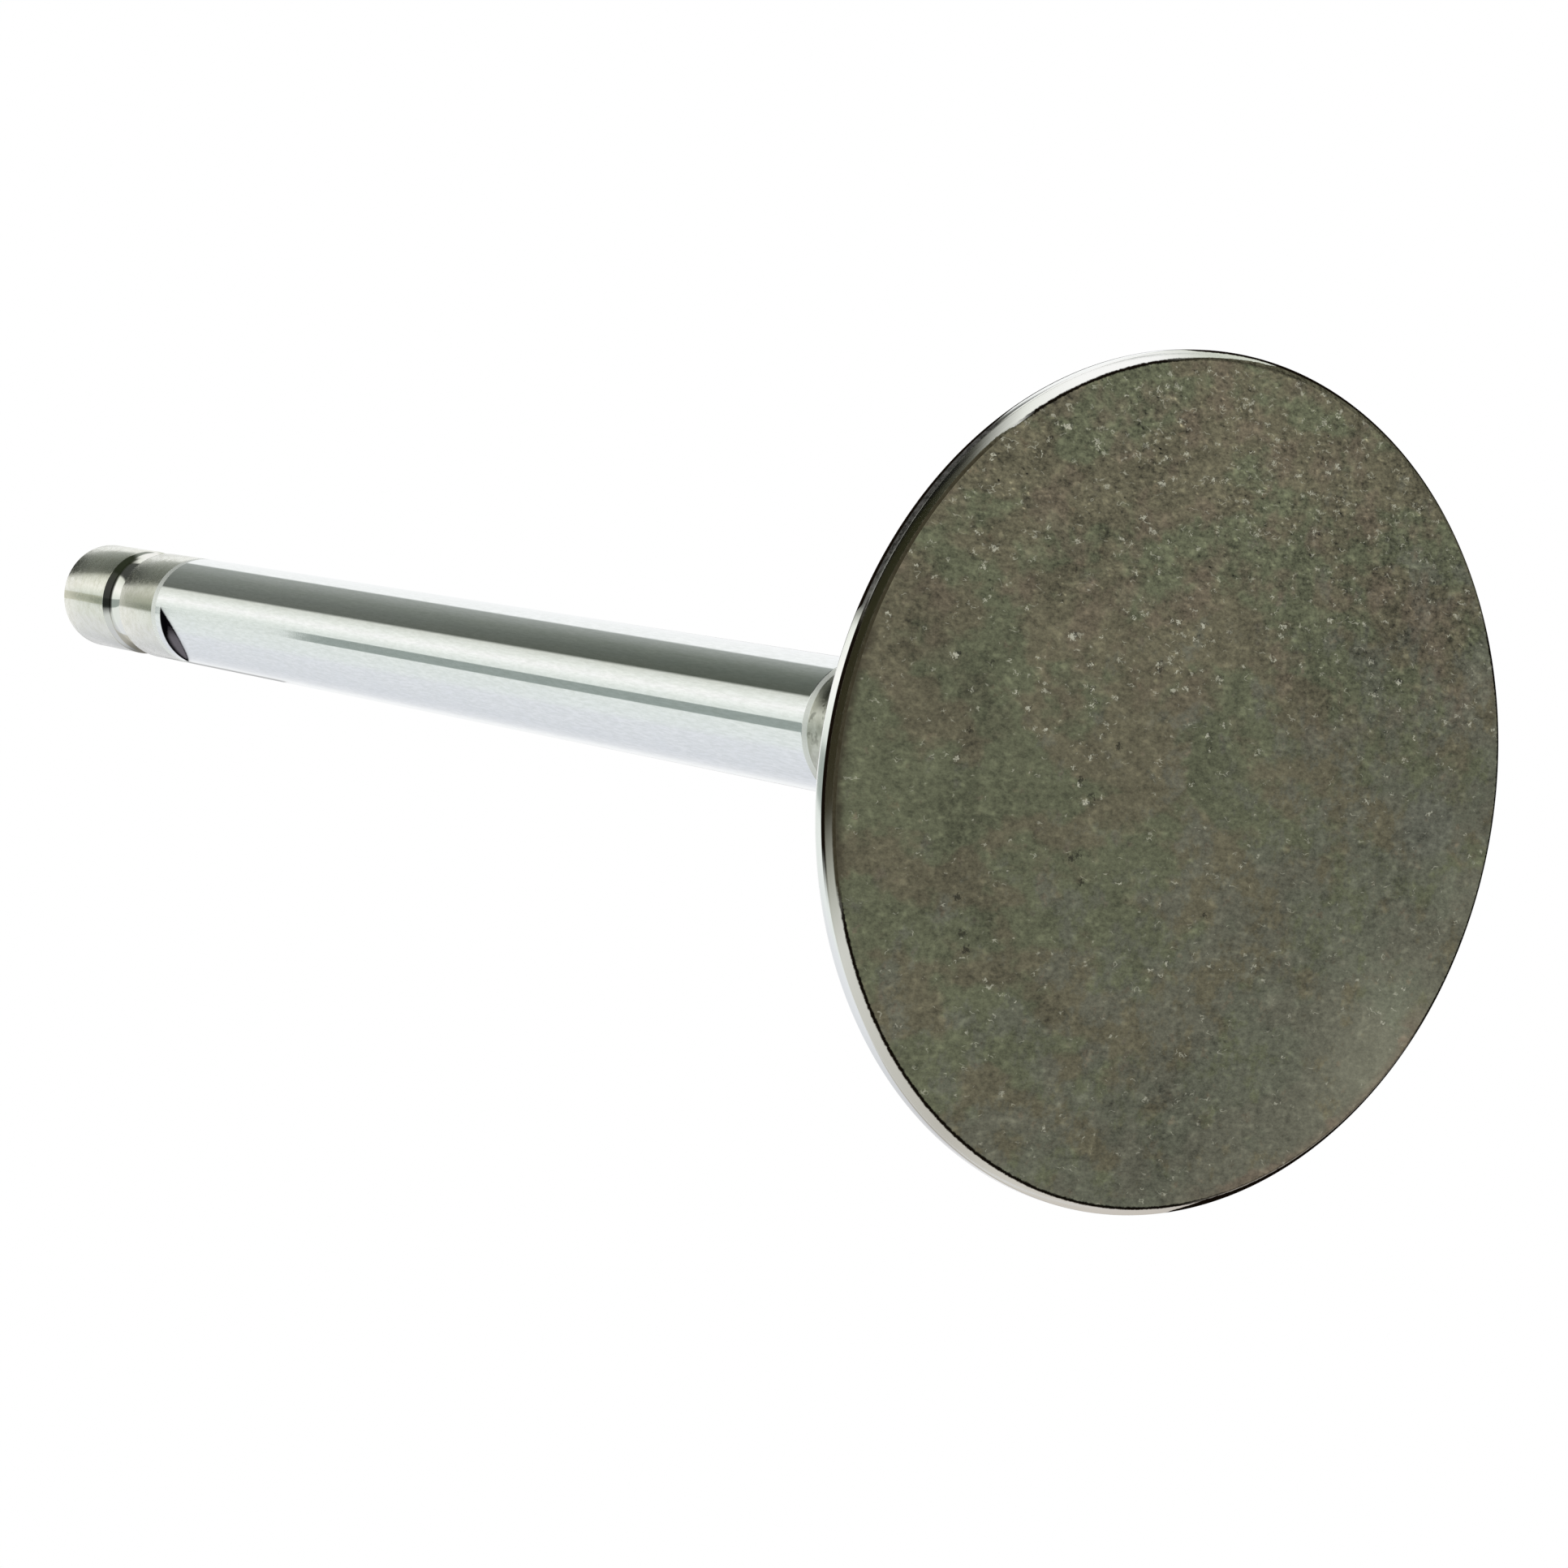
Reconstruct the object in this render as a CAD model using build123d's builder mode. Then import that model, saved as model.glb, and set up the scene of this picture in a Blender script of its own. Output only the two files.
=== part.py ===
# Engine poppet valve: one forged, ground and chrome-plated steel piece, in millimetres.
# The origin is the centre of the flat combustion face. +Z runs up the stem to the tip,
# so the valve stands on its head.
from build123d import *
from math import cos, radians, sin, tan
import os

# Head: flat forged face, broken edge, ground margin and ground seat
head_diameter = 45.0
face_chamfer = 0.45
margin_width = 0.65
seat_angle = 45.0  # slope of the seat, measured from the face
seat_width = 3.0  # measured along that slope

# Back of the head: a shallow forged cone that sweeps up into the neck
back_angle = 12.0  # slope of the cone, measured from the face
neck_sweep_radius = 14.0
neck_diameter = 7.6

# Stem: ground and plated, with a short run-out taper down to the neck
overall_length = 133.2
stem_diameter = 8.0
stem_start = 29.2  # height of the lower end of the taper above the face
runout_length = 0.3

# Keeper groove and tip
tip_land = 7.7  # from the tip to the groove
groove_width = 3.1
groove_depth = 0.75  # in the middle of its round bottom
groove_lip_radius = 0.1
tip_chamfer = 0.5

# Sizes that follow from those above
head_radius = head_diameter / 2
neck_radius = neck_diameter / 2
stem_radius = stem_diameter / 2
rim_height = face_chamfer + margin_width
seat_top_radius = head_radius - seat_width * cos(radians(seat_angle))
seat_top_height = rim_height + seat_width * sin(radians(seat_angle))
neck_foot_height = seat_top_height + (seat_top_radius - neck_radius) * tan(radians(back_angle))
groove_top = overall_length - tip_land
groove_bottom = groove_top - groove_width
groove_middle = (groove_top + groove_bottom) / 2
groove_radius = (groove_width**2 / 4 + groove_depth**2) / (2 * groove_depth)
groove_centre = stem_radius - groove_depth + groove_radius
edge_reach = 0.01  # how far from a stated height an edge is looked for


def round_edges_at(height):
    """The circular edges of the valve that lie at one height above the face."""
    circles = valve.edges().filter_by(GeomType.CIRCLE)
    return circles.filter_by_position(Axis.Z, height - edge_reach, height + edge_reach)


with BuildPart() as valve:
    # The turned blank, from half of its section, with the long sweep into the neck
    with BuildSketch(Plane.XZ) as blank:
        with BuildLine():
            Polyline(
                (0, 0),
                (head_radius, 0),
                (head_radius, rim_height),
                (seat_top_radius, seat_top_height),
                (neck_radius, neck_foot_height),
                (neck_radius, stem_start),
                (stem_radius, stem_start + runout_length),
                (stem_radius, overall_length),
                (0, overall_length),
                close=True,
            )
        make_face()
        neck_foot = blank.vertices().sort_by_distance((neck_radius, neck_foot_height))[0]
        fillet(neck_foot, radius=neck_sweep_radius)
    revolve(axis=Axis.Z)

    # Broken edge of the face, and ground chamfer of the tip
    chamfer(round_edges_at(0), length=face_chamfer)
    chamfer(round_edges_at(overall_length), length=tip_chamfer)

    # Keeper groove: a turned channel with a round bottom, for round-section keepers
    with BuildSketch(Plane.XZ) as groove:
        with Locations((groove_centre, groove_middle)):
            Circle(groove_radius)
    revolve(axis=Axis.Z, mode=Mode.SUBTRACT)
    fillet(round_edges_at(groove_top) + round_edges_at(groove_bottom), radius=groove_lip_radius)

valve.part.label = "valve"

os.makedirs("parts", exist_ok=True)
export_step(valve.part, "parts/valve.step")
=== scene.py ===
from math import asin, cos, degrees, pi, radians, sin, tan

import bmesh
import bpy
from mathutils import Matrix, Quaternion, Vector


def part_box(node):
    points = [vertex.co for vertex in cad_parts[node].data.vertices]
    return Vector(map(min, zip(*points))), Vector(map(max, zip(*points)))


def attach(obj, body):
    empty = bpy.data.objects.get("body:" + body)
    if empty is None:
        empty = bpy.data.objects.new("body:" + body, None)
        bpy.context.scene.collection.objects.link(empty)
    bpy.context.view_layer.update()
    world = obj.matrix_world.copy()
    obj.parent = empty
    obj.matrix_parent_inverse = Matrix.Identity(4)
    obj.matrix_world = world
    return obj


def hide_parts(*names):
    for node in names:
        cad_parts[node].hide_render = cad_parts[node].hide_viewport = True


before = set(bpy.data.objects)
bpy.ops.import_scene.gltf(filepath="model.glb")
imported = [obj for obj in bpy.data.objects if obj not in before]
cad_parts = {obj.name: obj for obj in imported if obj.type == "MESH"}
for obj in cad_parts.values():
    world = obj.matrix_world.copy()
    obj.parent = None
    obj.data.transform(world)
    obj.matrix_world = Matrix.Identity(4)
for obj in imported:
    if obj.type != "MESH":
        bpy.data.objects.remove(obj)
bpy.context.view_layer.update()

# The valve: one steel forging, turned and ground all round, with hard chrome along its stem.
# Half of its outline is drawn as a chain of edges and spun about the centre line of the stem,
# as a lathe turns the real one. Its faces are then given their finishes by where they lie.
mm = 0.001
high_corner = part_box("valve")[1]
head_radius = high_corner.x
overall_length = high_corner.z
face_chamfer = 0.45 * mm
margin_width = 0.65 * mm
seat_angle = radians(45)
seat_width = 3.0 * mm
back_angle = radians(12)
sweep_radius = 14.0 * mm
neck_radius = 3.8 * mm
stem_radius = 4.0 * mm
stem_start = 29.2 * mm
runout_length = 0.3 * mm
plating_end = 116.66 * mm
tip_land = 7.7 * mm
groove_width = 3.1 * mm
groove_depth = 0.75 * mm
tip_chamfer = 0.5 * mm
rim_rounding = 0.09 * mm
edge_rounding = 0.05 * mm
forged_relief = 0.03 * mm
forged_relief_size = 1.6 * mm
face_rings = 96
turned_steps = 384

face_radius = head_radius - face_chamfer
rim_height = face_chamfer + margin_width
seat_top_radius = head_radius - seat_width * cos(seat_angle)
seat_top_height = rim_height + seat_width * sin(seat_angle)
neck_foot_height = seat_top_height + (seat_top_radius - neck_radius) * tan(back_angle)
sweep_reach = sweep_radius * tan((pi / 2 - back_angle) / 2)
groove_top = overall_length - tip_land
groove_bottom = groove_top - groove_width
groove_middle = (groove_top + groove_bottom) / 2
groove_radius = (groove_width**2 / 4 + groove_depth**2) / (2 * groove_depth)
groove_centre = stem_radius - groove_depth + groove_radius
groove_span = degrees(asin(groove_width / 2 / groove_radius))

# The outline starts from one point in the middle of the face.
bpy.ops.object.select_all(action="DESELECT")
bpy.ops.mesh.primitive_plane_add(size=mm, location=(0, 0, 0))
valve = bpy.context.object
valve.name = "valve_turned"
bpy.ops.object.mode_set(mode="EDIT")
bpy.ops.mesh.merge(type="CENTER")
outline = [Vector((0, 0, 0))]


def draw_to(radius, height):
    """Carries the outline on to a new point, with one edge."""
    point = Vector((radius, 0, height))
    bpy.ops.mesh.extrude_vertices_move(TRANSFORM_OT_translate={"value": point - outline[-1]})
    outline.append(point)


def draw_arc(centre_radius, centre_height, radius, start, end, pieces):
    """Carries the outline on round an arc. Its angles are in degrees from the outward direction."""
    for piece in range(pieces + 1):
        angle = radians(start + (end - start) * piece / pieces)
        draw_to(centre_radius + radius * cos(angle), centre_height + radius * sin(angle))


for ring in range(1, face_rings + 1):
    draw_to(face_radius * ring / face_rings, 0)
draw_to(head_radius, face_chamfer)
draw_to(head_radius, rim_height)
draw_to(seat_top_radius, seat_top_height)
draw_arc(neck_radius + sweep_radius, neck_foot_height + sweep_reach, sweep_radius, 258, 180, 26)
draw_to(neck_radius, stem_start)
draw_to(stem_radius, stem_start + runout_length)
draw_to(stem_radius, plating_end)
draw_arc(groove_centre, groove_middle, groove_radius, 180 + groove_span, 180 - groove_span, 24)
draw_to(stem_radius, overall_length - tip_chamfer)
draw_to(stem_radius - tip_chamfer, overall_length)
draw_to(0, overall_length)

bpy.ops.mesh.select_all(action="SELECT")
bpy.ops.mesh.spin(steps=turned_steps, angle=2 * pi, center=(0, 0, 0), axis=(0, 0, 1))
bpy.ops.mesh.select_all(action="SELECT")
bpy.ops.mesh.remove_doubles(threshold=0.001 * mm)
bpy.ops.mesh.normals_make_consistent(inside=False)


def break_edges(lowest, highest, rounding):
    """Rounds the sharp rings between two heights."""
    bpy.ops.mesh.select_mode(type="EDGE")
    bpy.ops.mesh.select_all(action="DESELECT")
    bpy.ops.mesh.edges_select_sharp(sharpness=radians(20))
    turned = bmesh.from_edit_mesh(valve.data)
    for edge in turned.edges:
        height = (edge.verts[0].co.z + edge.verts[1].co.z) / 2
        edge.select = edge.select and lowest < height < highest
    bmesh.update_edit_mesh(valve.data)
    bpy.ops.mesh.bevel(offset=rounding, segments=3, affect="EDGES")


# Every corner that a grinding wheel leaves is broken by hand, so each sharp ring gets a small round.
break_edges(-mm, (rim_height + seat_top_height) / 2, rim_rounding)
break_edges((rim_height + seat_top_height) / 2, 2 * overall_length, edge_rounding)
bpy.ops.object.mode_set(mode="OBJECT")

# The face keeps the slight unevenness of the forging die, which fades out before its ground edge.
relief_group = valve.vertex_groups.new(name="forged_relief")
for vertex in valve.data.vertices:
    radius = vertex.co.xy.length
    if vertex.co.z < rim_rounding and radius < face_radius - rim_rounding:
        fade = min(1.0, (face_radius - radius) / mm, radius / (2 * mm))
        relief_group.add([vertex.index], fade, "REPLACE")
relief_texture = bpy.data.textures.new("forged_relief", "CLOUDS")
relief_texture.noise_scale = forged_relief_size
relief_texture.noise_depth = 1
relief = valve.modifiers.new("forged_relief", "DISPLACE")
relief.texture = relief_texture
relief.vertex_group = relief_group.name
relief.direction = "Z"
relief.mid_level = 0.0
relief.strength = forged_relief
bpy.ops.object.modifier_apply(modifier=relief.name)
bpy.ops.object.shade_smooth_by_angle(angle=radians(30))
shading = valve.modifiers.new("flat_between_rounds", "WEIGHTED_NORMAL")
shading.keep_sharp = True
bpy.ops.object.modifier_apply(modifier=shading.name)


class Wire:
    """A value in a finish. Arithmetic on it adds the Math nodes that work it out."""

    def __init__(self, finish, socket):
        self.finish = finish
        self.socket = socket

    def __getitem__(self, name):
        return Wire(self.finish, self.socket.node.outputs[name])

    def work_out(self, operation, *values):
        """A Math node for these values."""
        return self.finish.add("ShaderNodeMath", {"operation": operation}, values)

    def __add__(self, other):
        return self.work_out("ADD", self, other)

    def __sub__(self, other):
        return self.work_out("SUBTRACT", self, other)

    def __rsub__(self, other):
        return self.work_out("SUBTRACT", other, self)

    def __mul__(self, other):
        return self.work_out("MULTIPLY", self, other)

    def __truediv__(self, other):
        return self.work_out("DIVIDE", self, other)

    def __gt__(self, other):
        return self.work_out("GREATER_THAN", self, other)

    def __lt__(self, other):
        return self.work_out("LESS_THAN", self, other)

    def __abs__(self):
        return self.work_out("ABSOLUTE", self)

    __radd__ = __add__
    __rmul__ = __mul__


class Finish:
    """The nodes of one material or of the world, added from the inputs on."""

    def __init__(self, owner):
        owner.use_nodes = True
        self.tree = owner.node_tree
        self.tree.nodes.clear()

    def add(self, kind, settings=None, values=()):
        """Adds a node, with its settings first and then the values or wires of its sockets."""
        node = self.tree.nodes.new(kind)
        for name, setting in (settings or {}).items():
            if name == "stops":
                for place, colour in setting[2:]:
                    node.color_ramp.elements.new(place)
                for element, (place, colour) in zip(node.color_ramp.elements, setting):
                    element.position = place
                    element.color = colour
            else:
                setattr(node, name, setting)
        sockets = {socket.identifier: socket for socket in node.inputs}
        pairs = values.items() if isinstance(values, dict) else enumerate(values)
        for name, value in pairs:
            socket = node.inputs[name] if isinstance(name, int) else sockets[name]
            if isinstance(value, Wire):
                self.tree.links.new(value.socket, socket)
            else:
                socket.default_value = value
        shown = [socket for socket in node.outputs if socket.enabled]
        return Wire(self, shown[0]) if shown else None

    def mix(self, factor, first, second):
        """One colour turning into another as the factor goes from 0 to 1."""
        values = {"Factor_Float": factor, "A_Color": first, "B_Color": second}
        return self.add("ShaderNodeMix", {"data_type": "RGBA"}, values)

    def rise(self, value, start, end):
        """0 before the start, 1 after the end, and smooth between them."""
        values = {"Value": value, "From Min": start, "From Max": end}
        return self.add("ShaderNodeMapRange", {"interpolation_type": "SMOOTHSTEP"}, values)

    def between(self, value, start, full, waning, end):
        """1 between full and waning, 0 outside the start and the end, and smooth on the way."""
        return self.rise(value, start, full) * (1 - self.rise(value, waning, end))

    def clamp(self, value, lowest=0.0, highest=1.0):
        """The value, kept between two limits."""
        return self.add("ShaderNodeClamp", None, [value, lowest, highest])

    def greater(self, first, second):
        """The greater of two values."""
        return self.add("ShaderNodeMath", {"operation": "MAXIMUM"}, [first, second])

    def vector(self, operation, *values):
        """Arithmetic on colours and places."""
        return self.add("ShaderNodeVectorMath", {"operation": operation}, values)

    def scale(self, vector, share):
        """A colour or a place times a number."""
        values = {"Vector": vector, "Scale": share}
        return self.add("ShaderNodeVectorMath", {"operation": "SCALE"}, values)

    def bump(self, height, strength, depth):
        """The slight tilt that a fine relief gives to the surface."""
        values = {"Height": height, "Strength": strength, "Distance": depth}
        return self.add("ShaderNodeBump", None, values)

    def noise(self, vector, scale, detail=2.0, roughness=0.5, w=None):
        """Soft random variation from 0 to 1, with so many waves to each unit of the vector."""
        values = {"Vector": vector, "Scale": scale, "Detail": detail, "Roughness": roughness}
        dimensions = "3D"
        if w is not None:
            values["W"] = w
            dimensions = "4D"
        return self.add("ShaderNodeTexNoise", {"noise_dimensions": dimensions}, values)


def paint(red, green, blue):
    """A colour given in the 255 steps of a colour chart, as a shader takes it."""
    steps = [step / 255 for step in (red, green, blue)]
    return [s / 12.92 if s < 0.04045 else ((s + 0.055) / 1.055) ** 2.4 for s in steps] + [1.0]


def grey(step):
    """A neutral colour, given in the same steps."""
    return paint(step, step, step)


def new_finish(name):
    """A material with its nodes, and its Object coordinates in millimetres."""
    material = bpy.data.materials.new(name)
    finish = Finish(material)
    place = finish.add("ShaderNodeTexCoord")["Object"]
    place = finish.scale(place, 1 / mm)
    split = finish.add("ShaderNodeSeparateXYZ", None, [place])
    return material, finish, place, split["X"], split["Y"], split["Z"]


def from_centre(finish, x, y):
    """Distance from the centre line of the stem."""
    return finish.add("ShaderNodeMath", {"operation": "SQRT"}, [x * x + y * y])


def give(material, chosen):
    """Gives the material to every face of the valve whose radius and height are chosen."""
    valve.data.materials.append(material)
    valve.active_material_index = len(valve.data.materials) - 1
    bpy.ops.object.mode_set(mode="EDIT")
    bpy.ops.mesh.select_mode(type="FACE")
    turned = bmesh.from_edit_mesh(valve.data)
    for face in turned.faces:
        middle = face.calc_center_median()
        face.select = chosen(middle.xy.length, middle.z)
    bmesh.update_edit_mesh(valve.data)
    bpy.ops.object.material_slot_assign()
    bpy.ops.object.mode_set(mode="OBJECT")


# The face, as it came out of the forging die: a dull, dark scale in olive and brown patches, with
# a sandy grain, pale flakes that crowd towards one side, a few pits, and the faint ring of the
# upsetting die.
patch_olive = paint(108, 112, 88)
patch_brown = paint(112, 108, 87)
patch_slate = paint(108, 110, 97)
patch_rust = paint(126, 107, 86)
patch_plum = paint(119, 106, 91)
flake_colour = paint(216, 216, 196)
pit_shade_colour = paint(40, 39, 30)
edge_colour = paint(14, 13, 9)
stem_side_shade_colour = paint(62, 54, 40)
die_ring_radius = 14.2
# The grain and the flakes are drawn out along Y.
grain_stretch = 0.6
flake_stretch = (1.2, 0.6, 1.0)
# How many millimetres to the side scabs have their painted dark edge, and flakes their painted shadow.
scab_shading_offset = (0.11, 0.05, 0.0)
flake_shadow_offset = (0.12, 0.1, 0.0)
# Broad lighter and darker areas: place, reach in millimetres and share of change.
tone_areas = [
    (1.5, 0.0, 5.0, -0.12),
    (0.0, 0.0, 14.0, 0.05),
    (5.5, -9.5, 4.5, 0.12),
    (9.5, -1.5, 5.0, 0.08),
    (9.0, 11.5, 9.0, -0.16),
    (-12.0, 17.0, 8.0, 0.45),
    (-3.0, 21.5, 5.0, 0.25),
    (-17.5, 3.0, 6.5, -0.16),
    (4.0, -17.5, 6.0, -0.12),
    (-6.0, -14.0, 4.5, -0.12),
    (20.0, 0.0, 9.0, 0.14),
    (13.0, -17.0, 6.0, 0.02),
    (-13.0, 5.4, 2.0, 0.12),
]
# Where small flakes cluster, then the plainest flakes and pits: place and reach in millimetres.
flake_clusters = [
    (18.0, -6.0, 3.0),
    (15.0, 1.0, 4.0),
    (18.0, 6.0, 3.5),
    (13.0, -15.0, 2.5),
    (7.0, -2.0, 2.6),
    (4.5, -7.8, 2.4),
    (0.6, -6.8, 2.6),
    (-13.0, 5.0, 2.6),
    (-10.0, 17.0, 2.6),
]
flakes = [
    (8.3, -2.4, 0.22),
    (7.6, -1.2, 0.26),
    (6.7, -2.2, 0.20),
    (6.2, -2.6, 0.20),
    (6.0, -3.3, 0.22),
    (6.5, -9.1, 0.38),
    (5.3, -7.7, 0.20),
    (4.0, -7.3, 0.20),
    (3.3, -7.1, 0.28),
    (4.4, -16.1, 0.27),
    (-0.6, -15.0, 0.22),
    (1.8, -6.2, 0.18),
    (0.7, -6.6, 0.18),
    (-0.8, -7.1, 0.24),
    (-1.6, -6.4, 0.30),
    (2.8, 0.8, 0.30),
    (2.1, 1.1, 0.18),
    (0.2, 0.3, 0.16),
    (2.5, -11.1, 0.21),
    (3.2, -12.1, 0.22),
    (15.8, -1.9, 0.30),
]
pits = [
    (-1.25, -6.05, 0.22),
    (-0.5, -6.85, 0.2),
    (5.75, -3.1, 0.22),
    (1.5, -4.9, 0.24),
    (0.9, -14.5, 0.22),
    (4.5, -13.9, 0.2),
    (-4.5, -6.6, 0.28),
    (-4.3, -6.2, 0.24),
    (-5.7, -5.8, 0.2),
    (-6.4, 2.8, 0.2),
    (-7.3, -13.4, 0.24),
    (-9.1, -12.7, 0.28),
    (-9.9, -12.3, 0.28),
]


def compass(finish, x, y):
    """Degrees round from the side that the camera is on, growing towards the top of the picture."""
    return finish.add("ShaderNodeMath", {"operation": "ARCTAN2"}, [x, 0 - y]) * (180 / pi)


def dial(finish, around, marks):
    """A shade or a number that changes round the valve, from its values in a few directions."""
    stops = []
    for direction, value in marks:
        shade = value if isinstance(value, list) else [value] * 3 + [1.0]
        stops.append(((direction + 180) / 360, shade))
    return finish.add("ShaderNodeValToRGB", {"stops": stops}, [(around + 180) / 360])


def spot(finish, place, x, y, inner, outer):
    """1 within the inner distance of a place on the face, fading to 0 at the outer one."""
    away = finish.vector("DISTANCE", place, (x, y, 0.0))["Value"]
    return 1 - finish.rise(away, inner, outer)


def flecks(finish, place, fineness, share, reach):
    """Marks strewn about in cells, so many to a millimetre, of which only a share holds a mark."""
    cells = finish.add(
        "ShaderNodeTexVoronoi", {"voronoi_dimensions": "2D"}, {"Vector": place, "Scale": fineness}
    )
    chance = finish.add("ShaderNodeSeparateColor", None, [cells["Color"]])
    outer = reach * fineness * (0.5 + chance["Green"])
    mark = 1 - finish.rise(cells["Distance"], 0.4 * outer, outer)
    return mark * (chance["Red"] < share) * (0.4 + 0.6 * chance["Blue"])


material, finish, place, x, y, z = new_finish("forged_face")
around = compass(finish, x, y)
centre_distance = from_centre(finish, x, y)
drawn_out = finish.add("ShaderNodeCombineXYZ", None, [x * 0.19, y * 0.12, z])
patch = finish.rise(finish.noise(drawn_out, 1.0, 4.0, 0.6), 0.46, 0.53)
rust = finish.rise(finish.noise(place, 0.8, 3.0, 0.7), 0.6, 0.72)
slate = 0.7 * finish.rise(finish.noise(place, 0.4, 4.0, 0.7) + 0.006 * (y - x), 0.5, 0.62)
slate = slate + 0.8 * spot(finish, place, 0.4, 17.3, 0.8, 2.2)
colour = finish.mix(patch, patch_olive, patch_brown)
colour = finish.mix(slate, colour, patch_slate)
colour = finish.mix(0.32 * rust, colour, patch_rust)
plum = finish.rise(finish.noise(place, 0.3, 3.0, 0.6), 0.5, 0.62) * finish.rise(x, -2.0, 10.0)
inwards = face_radius / mm - centre_distance
lower_right = finish.between(around, -160, -146, -112, -98)
plum = 0.5 * plum + 0.75 * lower_right * (1 - finish.rise(inwards + 0.9 * (patch - 0.5), 0.1, 1.3))
colour = finish.mix(plum, colour, patch_plum)

shade = 1 + 0.55 * (finish.noise(place, 0.2, 2.0, 0.7) - 0.5)
for centre_x, centre_y, reach, change in tone_areas:
    shade = shade + change * spot(finish, place, centre_x, centre_y, 0.0, reach)
die_ring = centre_distance - die_ring_radius
die_ring = finish.between(die_ring, -1.4, 0.0, 0.0, 1.6)
shade = shade - 0.14 * die_ring * finish.rise(0 - y, 2.0, 10.0)
shade = shade + 0.2 * lower_right * (1 - finish.rise(inwards, 0.8, 6.0))
lying = finish.add("ShaderNodeCombineXYZ", None, [x, y * grain_stretch, z])
fine = finish.noise(lying, 4.6, 2.0, 0.8)
sandy = finish.noise(lying, 1.9, 1.0, 0.8)
lumpy = finish.noise(lying, 0.85, 1.0, 0.7)
grain = 1.5 * (fine - 0.5) + 0.75 * (sandy - 0.5) + 0.55 * (lumpy - 0.5)
shade = shade + grain * (1 + 0.5 * finish.rise(x, 0.0, 16.0)) + 0.3 * finish.rise(sandy, 0.58, 0.76)

# Small scabs have painted light on one side and painted shade on the other. They crowd towards the top.
crowding = 0.05 + 1.35 * finish.rise(x, -2.0, 20.0)
crowding = crowding + 0.5 * finish.rise(finish.noise(place, 0.25, 2.0), 0.56, 0.68)
for centre_x, centre_y, reach in flake_clusters:
    crowding = crowding + 0.65 * spot(finish, place, centre_x, centre_y, 0.3 * reach, reach)
beside = finish.vector("ADD", lying, scab_shading_offset)
scab_painted_light = finish.noise(beside, 2.4, 2.0, 0.6) - finish.noise(lying, 2.4, 2.0, 0.6)
scab_painted_light = 50 * crowding * scab_painted_light * scab_painted_light * scab_painted_light
shade = shade + 0.65 * scab_painted_light + 0.4 * finish.greater(scab_painted_light, 0.0)

# Thin curled edges of scale, in short lengths.
curl = abs(finish.noise(lying, 1.7, 2.0, 0.6) - 0.5)
length = finish.noise(lying, 2.3, 1.0, 0.5, w=4.0) + 0.035 * crowding
curl = (1 - finish.rise(curl, 0.004, 0.026)) * finish.rise(length, 0.62, 0.7)

# Flakes have torn outlines, and each has a little painted shadow on its far side.
torn = finish.vector("SUBTRACT", finish.noise(place, 3.4, 3.0, 0.8)["Color"], (0.5, 0.5, 0.5))
torn = finish.vector("MULTIPLY_ADD", torn, (0.9, 1.3, 0.0), place)
flake_shadow_place = finish.vector("SUBTRACT", torn, flake_shadow_offset)
torn_long = finish.vector("MULTIPLY", torn, flake_stretch)
flake_shadow_long_place = finish.vector("MULTIPLY", flake_shadow_place, flake_stretch)
flaked = 0.95 * flecks(finish, torn_long, 2.6, 0.09 * crowding, 0.1) + 0.5 * curl
flaked = flaked + 0.95 * flecks(finish, torn_long, 1.0, 0.07 * crowding, 0.14)
shade = shade - 0.45 * flecks(finish, flake_shadow_long_place, 1.0, 0.07 * crowding, 0.14)
pitted = 0
for centre_x, centre_y, reach in flakes:
    flaked = flaked + 1.3 * spot(finish, torn, centre_x, centre_y, 0.1 * reach, 0.72 * reach)
    shade = shade - 0.5 * spot(finish, flake_shadow_place, centre_x, centre_y, 0.2 * reach, 0.8 * reach)
for centre_x, centre_y, reach in pits:
    pitted = pitted + spot(finish, torn, centre_x, centre_y, 0.4 * reach, reach)
flaked = finish.clamp(flaked * (0.5 + 0.7 * finish.rise(fine, 0.3, 0.6)))
pitted = finish.clamp(pitted)
colour = finish.scale(colour, shade)
colour = finish.mix(0.85 * flaked, colour, flake_colour)
# The pits are painted near black: painted shade in their hollows.
colour = finish.mix(0.75 * pitted, colour, pit_shade_colour)

# The edge next to the stem is painted dark brown: a painted shade.
stem_side_shade = finish.between(around, -25, -15, 10, 18)
stem_side_shade = stem_side_shade * (1 - finish.rise(inwards + 0.5 * (sandy - 0.5), 0.0, 0.7))
colour = finish.mix(0.75 * stem_side_shade, colour, stem_side_shade_colour)
height = 0.4 * fine + 0.5 * sandy + 0.3 * lumpy + 0.6 * flaked - 0.8 * pitted
values = {
    "Base Color": colour,
    "Metallic": 0.3,
    "Roughness": 0.5 + 0.2 * sandy - 0.15 * flaked,
    "Normal": finish.bump(height, 0.5, 0.04 * mm),
}
forged_scale = finish.add("ShaderNodeBsdfPrincipled", None, values)


def matt(finish, colour):
    """A dull, dark layer that shines at no angle: grime, loose scale, and painted shade and dark
    reflections.
    """
    values = {"Base Color": colour, "Roughness": 0.9, "Specular IOR Level": 0.0}
    return finish.add("ShaderNodeBsdfPrincipled", None, values)


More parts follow.
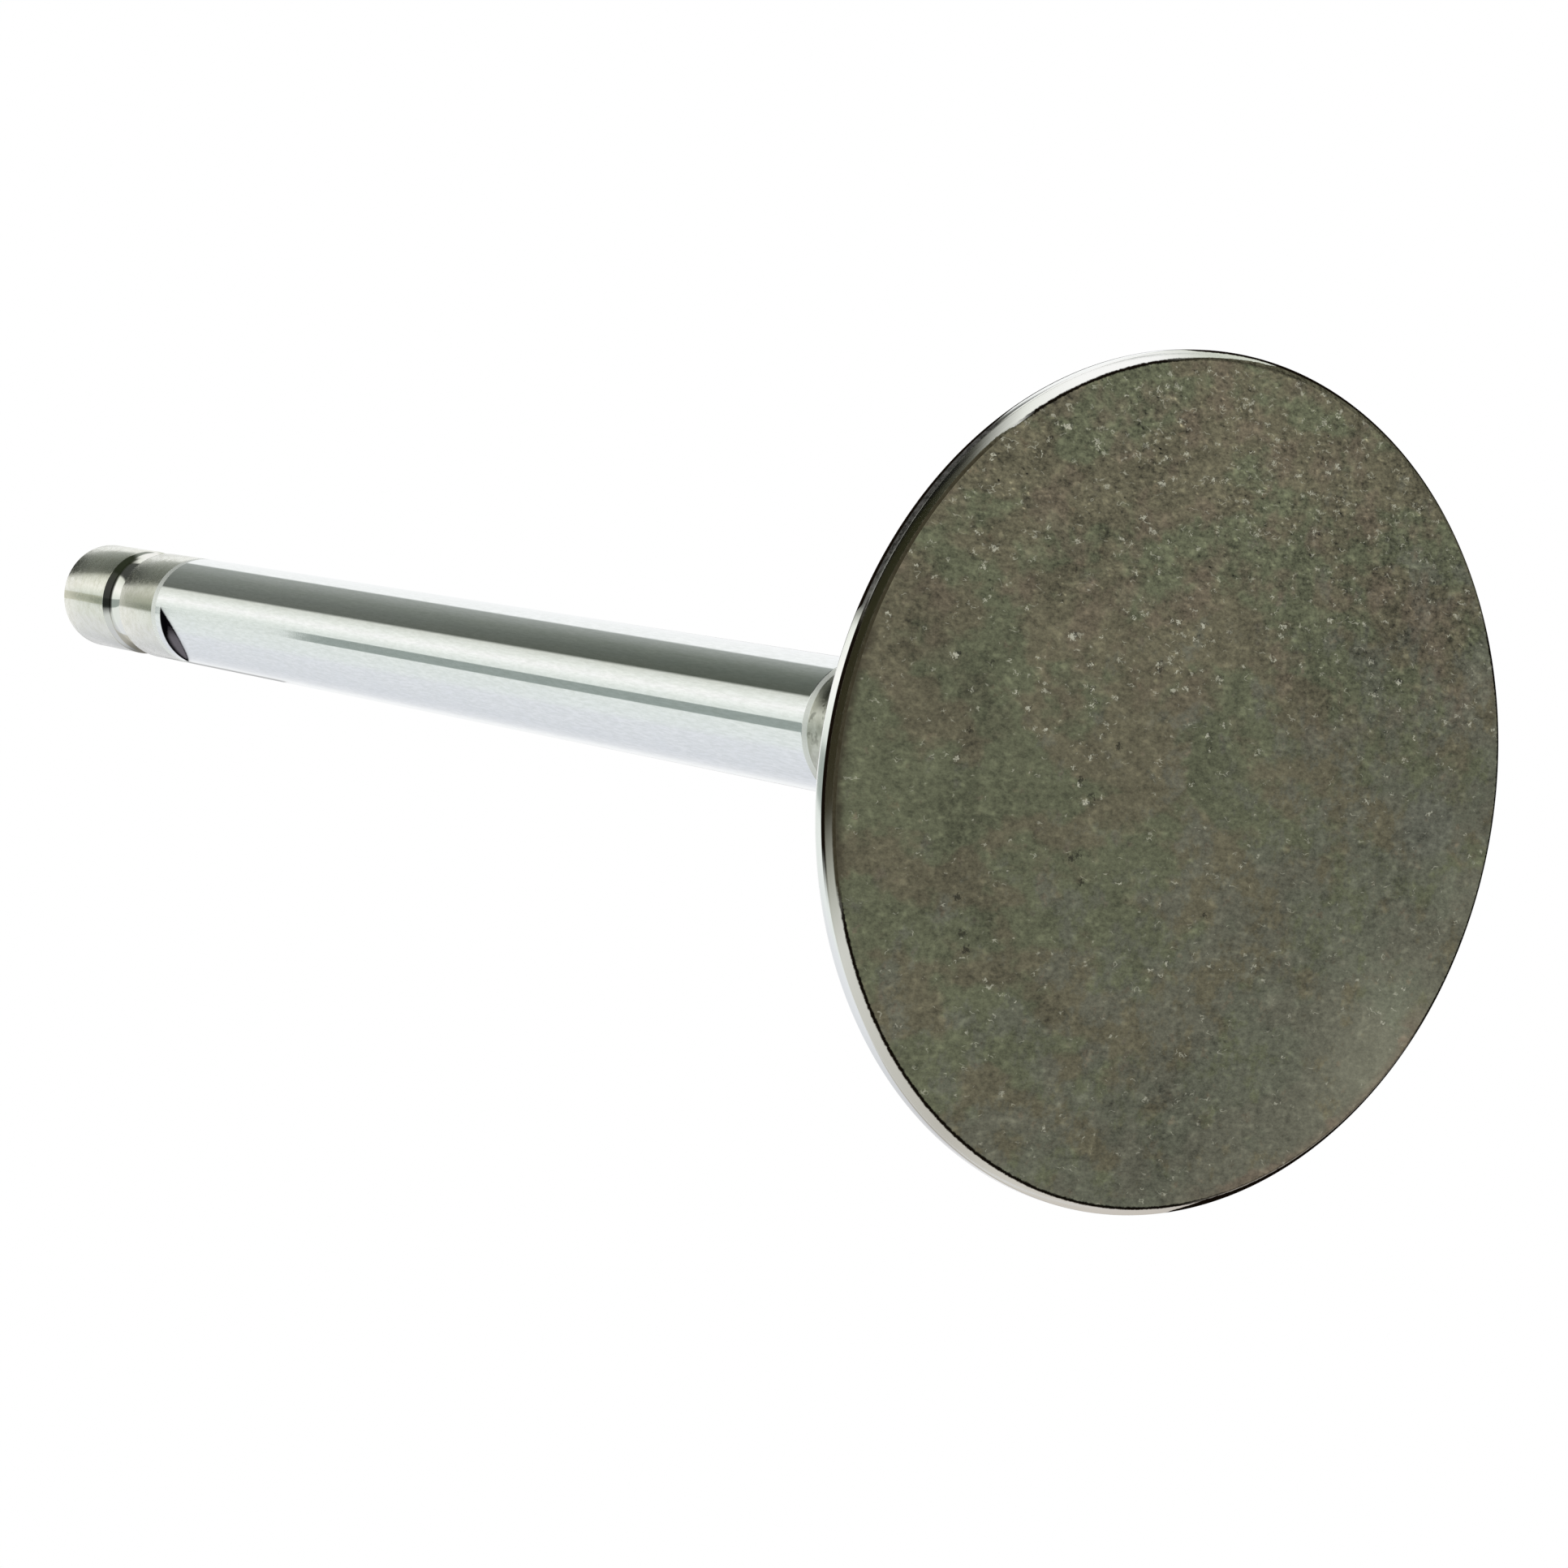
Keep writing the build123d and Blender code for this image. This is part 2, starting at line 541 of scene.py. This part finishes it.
# The grinding wheel left a black ragged line where the scale ends, in these directions.
edge_line_marks = [
    (-153, 1.0),
    (-147, 0.4),
    (-112, 0.5),
    (-103, 1.0),
    (-24, 1.0),
    (-19, 0.0),
    (46, 0.0),
    (50, 1.0),
    (74, 1.0),
    (80, 0.5),
    (96, 0.4),
    (100, 0.0),
    (146, 0.0),
    (151, 1.0),
]
edge_line = 1 - finish.rise(inwards + 0.16 * (fine - 0.5), 0.06, 0.14)
edge_line = dial(finish, around, edge_line_marks) * edge_line
black_edge = matt(finish, edge_colour)
surface = finish.add("ShaderNodeMixShader", None, [edge_line, forged_scale, black_edge])
finish.add("ShaderNodeOutputMaterial", None, {"Surface": surface})
give(material, lambda radius, height: height < seat_top_height)


# The rim, ground in one set-up: the chamfer, the margin and the 45 degree seat. The wheel leaves
# fine lines round the head.
def turned_lines(finish, x, y, z, fineness):
    """Noise drawn out round the valve, with so many lines to a millimetre of its outline."""
    radius = from_centre(finish, x, y)
    slow = finish.add("ShaderNodeCombineXYZ", None, [x * 0.12, y * 0.12, z * fineness])
    return finish.noise(slow, 1.0, 3.0, 0.6, w=radius * fineness)


def metal(material, finish, colour, roughness, height, strength, chosen, cover=None, layer=None):
    """Finishes a metal surface, with a dull layer where it is covered, on the chosen faces."""
    bump = finish.bump(height, strength, 0.01 * mm)
    values = {"Base Color": colour, "Metallic": 1.0, "Roughness": roughness, "Normal": bump}
    surface = finish.add("ShaderNodeBsdfPrincipled", None, values)
    if cover is not None:
        surface = finish.add("ShaderNodeMixShader", None, [cover, surface, matt(finish, layer)])
    finish.add("ShaderNodeOutputMaterial", None, {"Surface": surface})
    give(material, chosen)


material, finish, place, x, y, z = new_finish("ground_rim")
lines = turned_lines(finish, x, y, z, 14.0)
colour = finish.mix(lines, paint(246, 246, 243), paint(255, 255, 254))
around = compass(finish, x, y)
grain = finish.noise(place, 4.2, 2.0, 0.8)
mottle = finish.rise(grain, 0.3, 0.7)
corner = face_chamfer / mm
on_margin = finish.rise(z, corner - 0.05, corner + 0.01)
greyed = finish.between(around, -100, -90, -62, -35) * on_margin
colour = finish.mix(0.8 * greyed, colour, finish.mix(grain, paint(206, 202, 198), paint(222, 219, 215)))

# Scale laps over the chamfer up to these heights in millimetres, by direction.
lap_marks = [
    (12, 0.0),
    (16, 0.1),
    (44, 0.14),
    (48, 0.0),
    (74, 0.0),
    (84, 0.12),
    (92, 0.25),
    (97, 0.5),
    (145, 0.5),
    (150, 0.0),
]
# From these heights up, the rim is painted with a black outline, a painted shade. At 2.0, above the
# rim, there is none.
outline_shade_marks = [
    (-153, 0.0),
    (-147, 0.02),
    (-106, 0.02),
    (-101, 0.3),
    (-95, 2.0),
    (12, 2.0),
    (15, 0.78),
    (45, 0.8),
    (50, 0.92),
    (74, 0.92),
    (78, 0.36),
    (82, 0.3),
    (90, 0.28),
    (97, 0.22),
    (140, 0.17),
    (151, 0.0),
]
lap = dial(finish, around, lap_marks) + 0.1 * (grain - 0.5)
lapped = finish.rise(lap - z, 0.0, 0.03)
ragged_height = z + 0.08 * (grain - 0.5)
black_line = finish.rise(ragged_height - dial(finish, around, outline_shade_marks), 0.0, 0.05)
black_line = black_line * (1 - finish.rise(z, 0.5, 0.6) * finish.rise(abs(around), 92, 100))
# The round between chamfer and margin is painted black on the camera's side: a painted dark reflection.
corner_painted_dark = finish.between(z - corner, -0.11, -0.07, 0.08, 0.13)
corner_painted_dark = corner_painted_dark * finish.between(around, -24, -15, 12, 17)
burr = dial(finish, around, edge_line_marks) * (1 - finish.rise(ragged_height, 0.04, 0.09))
black = finish.clamp(black_line + corner_painted_dark + burr)
shaded = (1 - finish.rise(z, 0.08, 0.14)) * finish.between(around, -24, -19, 40, 48)
dull = on_margin * finish.between(around, 12, 16, 45, 49)
lapped_scale = finish.mix(mottle, paint(58, 57, 44), paint(106, 104, 86))
dull_grime = finish.mix(mottle, paint(36, 36, 32), paint(90, 88, 86))
layer = finish.mix(dull, lapped_scale, dull_grime)
layer = finish.mix(0.85 * shaded, layer, paint(58, 53, 40))
layer = finish.mix(black, layer, paint(20, 14, 9))
covered = finish.clamp(lapped + black + shaded + 0.9 * dull)


def on_rim(radius, height):
    """The chamfer and the margin, with the seat's lower edge."""
    return radius > face_radius - rim_rounding / 4 and height < seat_top_height


metal(material, finish, colour, 0.1 + 0.08 * lines, lines, 0.15, on_rim, covered, layer)

# The seat has coarser lines than the rest of the rim, and nothing on it.
material, finish, place, x, y, z = new_finish("ground_seat")
lines = turned_lines(finish, x, y, z, 9.0)
colour = finish.mix(lines, paint(222, 222, 217), paint(240, 240, 236))


def on_seat(radius, height):
    """The seat, from above the round of its lower edge."""
    return rim_height + 0.65 * rim_rounding < height < seat_top_height


metal(material, finish, colour, 0.2 + 0.12 * lines, lines, 0.25, on_seat)

# The back of the head and the neck: turned from the forging, then blasted to an even satin. The
# upper end of the neck has a painted shade on one side, with darker spots in it. It ends in a
# pale edge at the taper.
taper_start = stem_start / mm
material, finish, place, x, y, z = new_finish("satin_neck")
lines = turned_lines(finish, x, y, z, 5.0)
frost = finish.noise(place, 6.0, 3.0, 0.6)
blotch = finish.rise(finish.noise(place, 0.7, 3.0, 0.7), 0.4, 0.62)
colour = finish.mix(frost, paint(196, 197, 186), paint(222, 222, 212))
colour = finish.mix(0.4 * blotch, colour, paint(150, 150, 134))
around = compass(finish, x, y)
# The upper end of the neck is painted dark on one side: a painted shade, with darker spots in it.
neck_shade_and_spots_area = (1 - finish.rise(around, 100, 160)) * finish.rise(z, 18, 26)
neck_shade_and_spots = finish.rise(around, 4, 24) * (1 - finish.rise(z, taper_start - 0.9, taper_start - 0.1))
neck_shade_and_spots = neck_shade_and_spots * finish.rise(frost, 0.2, 0.5)
spots = finish.rise(finish.noise(place, 1.6, 2.0, 0.6), 0.55, 0.66) * finish.rise(around, -30, -10)
neck_shade_and_spots = finish.clamp(neck_shade_and_spots_area * (neck_shade_and_spots + 0.5 * spots))
colour = finish.mix(0.9 * neck_shade_and_spots, colour, paint(66, 66, 54))
pale_edge = finish.rise(z, taper_start - 0.03, taper_start + 0.03)
colour = finish.mix(pale_edge, colour, paint(238, 240, 234))
unevenness = 0.5 * lines + 0.5 * frost


def on_neck(radius, height):
    """From the top of the seat to half-way up the taper."""
    return seat_top_height <= height < stem_start + runout_length / 2


metal(material, finish, colour, 0.28 + 0.14 * frost, unevenness, 0.5, on_neck)

# The stem: ground true and plated with hard chrome, then lapped to a mirror.
# Where the plating stops it ends in a narrow milky band, and beside it is a crescent that the
# plating never covered. Its heights are in millimetres, and its middle and reach in degrees.
band_start = (plating_end - 0.75 * mm) / mm
crescent_end = 115.1
crescent_start = 112.45
crescent_middle = -40.0
crescent_reach = 36.5

material, finish, place, x, y, z = new_finish("chrome_stem")
lines = turned_lines(finish, x, y, z, 8.0)
cloud = finish.noise(place, 0.5, 3.0)
around = compass(finish, x, y)
along = finish.add("ShaderNodeCombineXYZ", None, [x * 8, y * 8, z * 1.1])
streak = finish.noise(along, 1.0, 3.0, 0.7)
colour = finish.mix(cloud, paint(244, 246, 249), paint(255, 255, 254))
colour = finish.mix(finish.rise(streak, 0.3, 0.7), paint(234, 236, 235), colour)
band = finish.rise(z, band_start - 0.05, band_start + 0.1)
taper_top = (stem_start + runout_length) / mm
band = band + 1 - finish.rise(z, taper_top - 0.05, taper_top + 0.02)
colour = finish.mix(0.8 * band, colour, paint(222, 226, 218))
swing = (around - crescent_middle) / crescent_reach
above_bow = z - crescent_start - (crescent_end - crescent_start) * swing * swing
before_end = 1 - finish.rise(z, crescent_end - 0.1, crescent_end + 0.1)
inside = finish.rise(above_bow + 0.3 * (streak - 0.5), -0.2, 0.14) * before_end
dark_side = finish.rise(z, crescent_end - 1.3, crescent_end - 0.3)
dark_side = dark_side + finish.rise(around, crescent_middle + 2, crescent_middle + 20)
dark_side = dark_side + 0.7 * (1 - finish.rise(above_bow, 0.05, 0.4))
dark_side = dark_side + 1 - finish.rise(around, crescent_middle - 36, crescent_middle - 24)
dark_side = finish.clamp(dark_side + 0.8 * (streak - 0.5))
# A grey halo is painted round the crescent's bow.
crescent_halo = finish.rise(above_bow, -0.7, 0.1) * before_end
colour = finish.mix(0.35 * crescent_halo, colour, paint(120, 112, 122))
bare = finish.mix(streak, paint(88, 85, 90), paint(116, 112, 118))
bare = finish.mix(dark_side, bare, paint(8, 7, 9))
values = {
    "Base Color": colour,
    "Metallic": 1 - 0.6 * band,
    "Roughness": 0.03 + 0.02 * cloud + 0.3 * band,
    "Normal": finish.bump(lines, 0.02, 0.01 * mm),
}
plated = finish.add("ShaderNodeBsdfPrincipled", None, values)
surface = finish.add("ShaderNodeMixShader", None, [inside, plated, matt(finish, bare)])
finish.add("ShaderNodeOutputMaterial", None, {"Surface": surface})
give(material, lambda radius, height: stem_start + runout_length / 2 <= height < plating_end)

# The tip beyond the plating: bare ground steel, a little warmer and duller than the chrome. The
# land below the keeper groove is rubbed on one side, and the tip has a thin painted reflection of
# the thin flag.
groove_foot = groove_bottom / mm
groove_head = groove_top / mm
groove_centre_height = groove_middle / mm
material, finish, place, x, y, z = new_finish("ground_tip")
lines = turned_lines(finish, x, y, z, 12.0)
frost = finish.noise(place, 1.5, 3.0, 0.6)
around = compass(finish, x, y)
colour = finish.mix(lines, paint(232, 231, 220), paint(248, 247, 240))
colour = finish.mix(0.35 * finish.rise(frost, 0.35, 0.75), colour, paint(196, 194, 170))
rubbed = 1 - finish.rise(z, groove_foot - 1.4, groove_foot + 1.6)
rubbed = rubbed * finish.between(around, -11, -8, 0, 26)
colour = finish.mix(0.85 * rubbed, colour, paint(148, 150, 128))
scuff = finish.rise(finish.noise(place, 3.0, 2.0, 0.7), 0.35, 0.75)
# A thin line along the tip is painted in: a painted reflection of the thin flag.
tip_flag_reflection = finish.rise(z, groove_head, groove_head + 0.1) * finish.between(around, -13, -11, -4, -2)
on_side = 1 - finish.rise(z, (overall_length - tip_chamfer) / mm, overall_length / mm)
colour = finish.mix(0.7 * tip_flag_reflection * on_side, colour, paint(198, 195, 168))
# The tip's lower side is painted grey: a painted shade.
lower_side_shade = on_side * finish.between(0 - around, 40, 78, 110, 160)
colour = finish.mix(0.85 * lower_side_shade, colour, paint(190, 189, 186))


def on_tip(radius, height):
    """From the end of the plating up, with the groove, which gets its own finish next."""
    return height >= plating_end


metal(material, finish, colour, 0.17 + 0.12 * scuff, lines, 0.2, on_tip)

# The keeper groove: turned bright into the tip, with a painted dark reflection along its upper side.
material, finish, place, x, y, z = new_finish("turned_groove")
lines = turned_lines(finish, x, y, z, 8.0)
around = compass(finish, x, y)
colour = finish.mix(lines, paint(238, 238, 232), paint(253, 252, 248))
# The groove's upper wall is painted dark: a painted dark reflection, narrower on one side.
narrowing = 0.14 * finish.rise(around, 14, 50)
groove_painted_dark = finish.rise(z - narrowing - groove_centre_height, 0.86, 1.04)
groove_painted_dark_sides = finish.between(around, -26, -12, 56, 66)
fainter = 0.22 * (1 - finish.rise(around, -26, -12)) + 0.5 * (1 - finish.rise(around, -84, -60))
groove_painted_dark_sides = groove_painted_dark_sides + fainter * finish.rise(around, -160, -120)
groove_painted_dark = finish.clamp(0.95 * groove_painted_dark * groove_painted_dark_sides)
groove_painted_dark_colour = finish.mix(finish.rise(around, 8, 40), paint(14, 15, 8), paint(48, 54, 38))


def in_groove(radius, height):
    """The bottom of the groove, inside the rounds of its lips."""
    return groove_bottom < height < groove_top and radius < stem_radius - edge_rounding / 2


metal(material, finish, colour, 0.06 + 0.05 * lines, lines, 0.2, in_groove, groove_painted_dark, groove_painted_dark_colour)

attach(valve, "root")
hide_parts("valve")

# The studio seen in the metal: a light tent with a dark flag beside the valve and a thin one in
# front of it. Each stop gives a compass direction, in degrees from the camera's side towards the
# top of the picture, and the shade that the tent shows there.
tent_stops = [
    (-180, grey(150)),
    (-175, paint(246, 247, 248)),
    (-150, paint(250, 251, 252)),
    (-130, paint(230, 232, 236)),
    (-110, paint(222, 225, 230)),
    (-60, paint(228, 231, 235)),
    (-48, paint(231, 236, 235)),
    (-2, paint(230, 236, 230)),
    (7, paint(248, 251, 246)),
    (14, paint(255, 255, 252)),
    (25, paint(241, 244, 237)),
    (38, paint(215, 218, 209)),
    (42, paint(88, 93, 84)),
    (62, paint(98, 104, 96)),
    (80, paint(118, 124, 116)),
    (103, paint(158, 163, 158)),
    (107, paint(165, 170, 166)),
    (111, paint(250, 252, 251)),
    (175, paint(250, 251, 252)),
    (180, grey(165)),
]
flag_start = -22.0
flag_end = -6.0
flag_shade = paint(153, 163, 158)
# Elevations in degrees: the dark flag leans about the first, and a gap parts the flags between
# the other two.
lean_elevation = 57.0
gap_start = 62.6
gap_end = 64.6


def thin_flag(finish, azimuth):
    """1 in the directions of the thin flag."""
    return finish.between(azimuth, flag_start - 1, flag_start + 1, flag_end - 1, flag_end + 1)


world = bpy.data.worlds.new("studio")
bpy.context.scene.world = world
world.cycles.sampling_method = "NONE"
finish = Finish(world)
direction = finish.add("ShaderNodeTexCoord")["Generated"]
split = finish.add("ShaderNodeSeparateXYZ", None, [direction])
azimuth = compass(finish, split["X"], split["Y"])
elevation = finish.add("ShaderNodeMath", {"operation": "ARCSINE"}, [split["Z"]]) * (180 / pi)
tilt = finish.clamp(elevation - lean_elevation, -5.0, 8.0)
lean = finish.clamp((azimuth - 70) / 40)
upper = dial(finish, azimuth - 1.4 * tilt * lean, tent_stops)

# The dark flag is paler at its top and darker at its foot.
on_flag = finish.between(azimuth, 36, 42, 104, 112)
upper = finish.mix(0.11 * on_flag * finish.rise(elevation, 56, 65), upper, grey(190))
upper = finish.mix(0.75 * on_flag * (1 - finish.rise(elevation, 51, 55)), upper, grey(58))
gap = (elevation > gap_start) * (elevation < gap_end)
upper = finish.mix(0.6 * gap * (1 - finish.rise(azimuth, -158, -146)), upper, grey(120))
upper = finish.mix(thin_flag(finish, azimuth) * (1 - gap), upper, flag_shade)

# Overhead the tent is white, and black above the dark flag.
overhead = finish.rise(elevation, 67, 74)
over_flag = finish.between(azimuth, 32, 40, 108, 118)
upper = finish.mix(overhead, upper, finish.mix(over_flag, grey(250), grey(25)))

# Below the horizon, which is higher at the sides and the back, the tent has these shades.
ground_stops = [
    (-180, grey(12)),
    (-174, paint(60, 54, 44)),
    (-165, paint(120, 114, 106)),
    (-156, paint(160, 152, 144)),
    (-147, paint(190, 183, 176)),
    (-139, paint(200, 194, 187)),
    (-129, paint(204, 198, 191)),
    (-109, paint(203, 200, 192)),
    (-96, paint(186, 183, 175)),
    (-50, paint(209, 210, 204)),
    (-36, paint(170, 172, 162)),
    (-20, paint(52, 48, 34)),
    (55, paint(40, 41, 26)),
    (69, paint(78, 78, 68)),
    (83, paint(236, 238, 232)),
    (96, grey(252)),
    (112, grey(250)),
    (121, paint(203, 208, 195)),
    (134, paint(214, 218, 206)),
    (143, paint(140, 140, 130)),
    (156, paint(158, 158, 149)),
    (168, paint(80, 77, 70)),
    (174, grey(12)),
    (180, grey(12)),
]
lower = dial(finish, azimuth, ground_stops)
sideways = abs(azimuth)
horizon = -2 + 37 * finish.rise(sideways, 60, 88) + 20 * finish.rise(sideways, 164, 174)
brink = finish.between(azimuth, -34, -26, 62, 72)
brink = brink * finish.rise(elevation, -27, -20)
lower = finish.mix(brink, lower, grey(12))
tent = finish.mix(finish.rise(elevation - horizon, 0, 5), lower, upper)

# Metal shows the tent, the camera sees white behind the valve, and the rest is lit by a plain grey.
light = finish.add("ShaderNodeLightPath")
seen = light["Is Camera Ray"] + light["Is Transmission Ray"]
ambient_level = 0.65
ambient = [ambient_level] * 3 + [1.0]
colour = finish.mix(light["Is Glossy Ray"], ambient, tent)
colour = finish.mix(seen, colour, [1.0, 1.0, 1.0, 1.0])
background = finish.add("ShaderNodeBackground", None, {"Color": colour, "Strength": 1.0})
finish.add("ShaderNodeOutputWorld", None, {"Surface": background})

# The floor: a pale matt sheet that ends in white. It is clear from below, where the camera of
# the main view is, and under the head and just round it, so that light reaches the face that
# the valve stands on.
floor_size = 3.0
floor_gap = 0.02 * mm
clear_radius = head_radius + 8 * mm
fade_start = 200 * mm
fade_end = 600 * mm
bpy.ops.object.select_all(action="DESELECT")
bpy.ops.mesh.primitive_plane_add(size=floor_size, location=(0, 0, -floor_gap))
floor = bpy.context.object
floor.name = "floor"
bpy.ops.object.transform_apply(location=True, rotation=False, scale=False)
material, finish, place, x, y, z = new_finish("floor_sheet")
distance = from_centre(finish, x, y)
sheen = finish.noise(place, 0.02, 2.0)
paper = finish.add(
    "ShaderNodeBsdfDiffuse", None, {"Color": finish.mix(sheen, grey(228), grey(232))}
)
white = finish.add("ShaderNodeEmission", None, {"Color": grey(255), "Strength": 1.0})
fading = finish.rise(distance, fade_start / mm, fade_end / mm)
sheet = finish.add("ShaderNodeMixShader", None, [fading, paper, white])
azimuth = compass(finish, x, y)
mirrored = finish.mix(thin_flag(finish, azimuth), dial(finish, azimuth, tent_stops), flag_shade)
mirrored = finish.add("ShaderNodeEmission", None, {"Color": mirrored, "Strength": 1.0})
light = finish.add("ShaderNodeLightPath")
sheet = finish.add("ShaderNodeMixShader", None, [light["Is Glossy Ray"], sheet, mirrored])
below = finish.add("ShaderNodeNewGeometry")["Backfacing"]
within = (distance < clear_radius / mm) * (1 - light["Is Camera Ray"])
clear = finish.greater(below, within)
nothing = finish.add("ShaderNodeBsdfTransparent")
sheet = finish.add("ShaderNodeMixShader", None, [clear, sheet, nothing])
finish.add("ShaderNodeOutputMaterial", None, {"Surface": sheet})
floor.data.materials.append(material)


# Two soft boxes at a plain level: one above and to the left, which gives the valve its shadow,
# and a smaller one in front and below for the face. The metal shows the tent instead of them.
def soft_box(name, place, aim, size, power):
    """A round lamp at a place, turned to a point."""
    lamp = bpy.data.lights.new(name, "AREA")
    lamp.shape = "DISK"
    lamp.size = size
    lamp.energy = power
    box = bpy.data.objects.new(name, lamp)
    bpy.context.scene.collection.objects.link(box)
    box.location = place
    box.rotation_euler = (Vector(aim) - Vector(place)).to_track_quat("-Z", "Y").to_euler()
    box.visible_glossy = False


soft_box("high_soft_box", (-0.5, -0.35, 0.85), (0, 0, 0.05), 0.5, 3.6)
soft_box("low_soft_box", (0.12, -0.3, -0.4), (0, 0, 0), 0.3, 0.9)

# The camera looks up at the face from in front and below, rolled so that the stem runs off to
# the left, as in the picture.
eye = Vector((0, -133.044, -155.985)) * mm
aim = Vector((-3.950, -0.117, 35.791)) * mm
roll = radians(-78.44)
lens = bpy.data.cameras.new("camera")
lens.lens = 90.713
lens.sensor_width = 36.0
lens.clip_start = 0.01
camera = bpy.data.objects.new("camera", lens)
bpy.context.scene.collection.objects.link(camera)
camera.location = eye
camera.rotation_mode = "QUATERNION"
camera.rotation_quaternion = (aim - eye).to_track_quat("-Z", "Y") @ Quaternion((0, 0, 1), roll)
bpy.context.scene.camera = camera
bpy.context.scene.view_settings.view_transform = "Standard"
